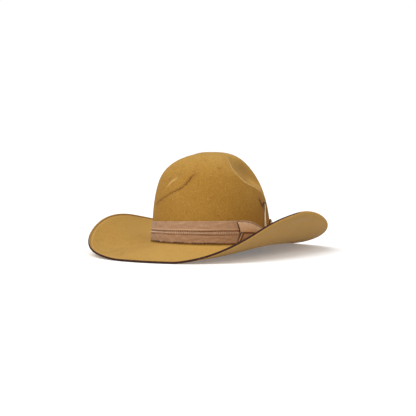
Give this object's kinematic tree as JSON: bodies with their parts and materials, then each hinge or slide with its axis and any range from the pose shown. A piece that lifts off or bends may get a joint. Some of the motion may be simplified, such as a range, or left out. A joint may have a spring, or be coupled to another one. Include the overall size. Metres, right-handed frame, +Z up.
{
  "type": "wide-brimmed felt hat",
  "caption": "Wide-brimmed western felt hat with rolled sides, a dented open crown, a folded ribbon band with a flat side bow and a leather lace.",
  "frame": {"origin": "middle of the brim's outline, on the surface that the hat stands on", "axes": "+Z up through the crown, -Y towards the front of the hat, +X towards the wearer's left"},
  "size_m": [0.3332, 0.4124, 0.1588],
  "materials": {
    "felt": "matt wool felt, golden tan, worn",
    "binding": "matt dark edge binding",
    "ribbon": "folded ribbon, dusty rose brown",
    "bow_ribbon": "folded ribbon, light rose brown",
    "lace": "pale untreated thong"
  },
  "bodies": {
    "root": {"felt_body": "felt", "brim_binding": "binding", "hat_band": "ribbon", "bow_front_wing": "bow_ribbon", "bow_rear_wing": "bow_ribbon", "bow_knot": "bow_ribbon", "leather_lace": "lace"}
  },
  "joints": []
}
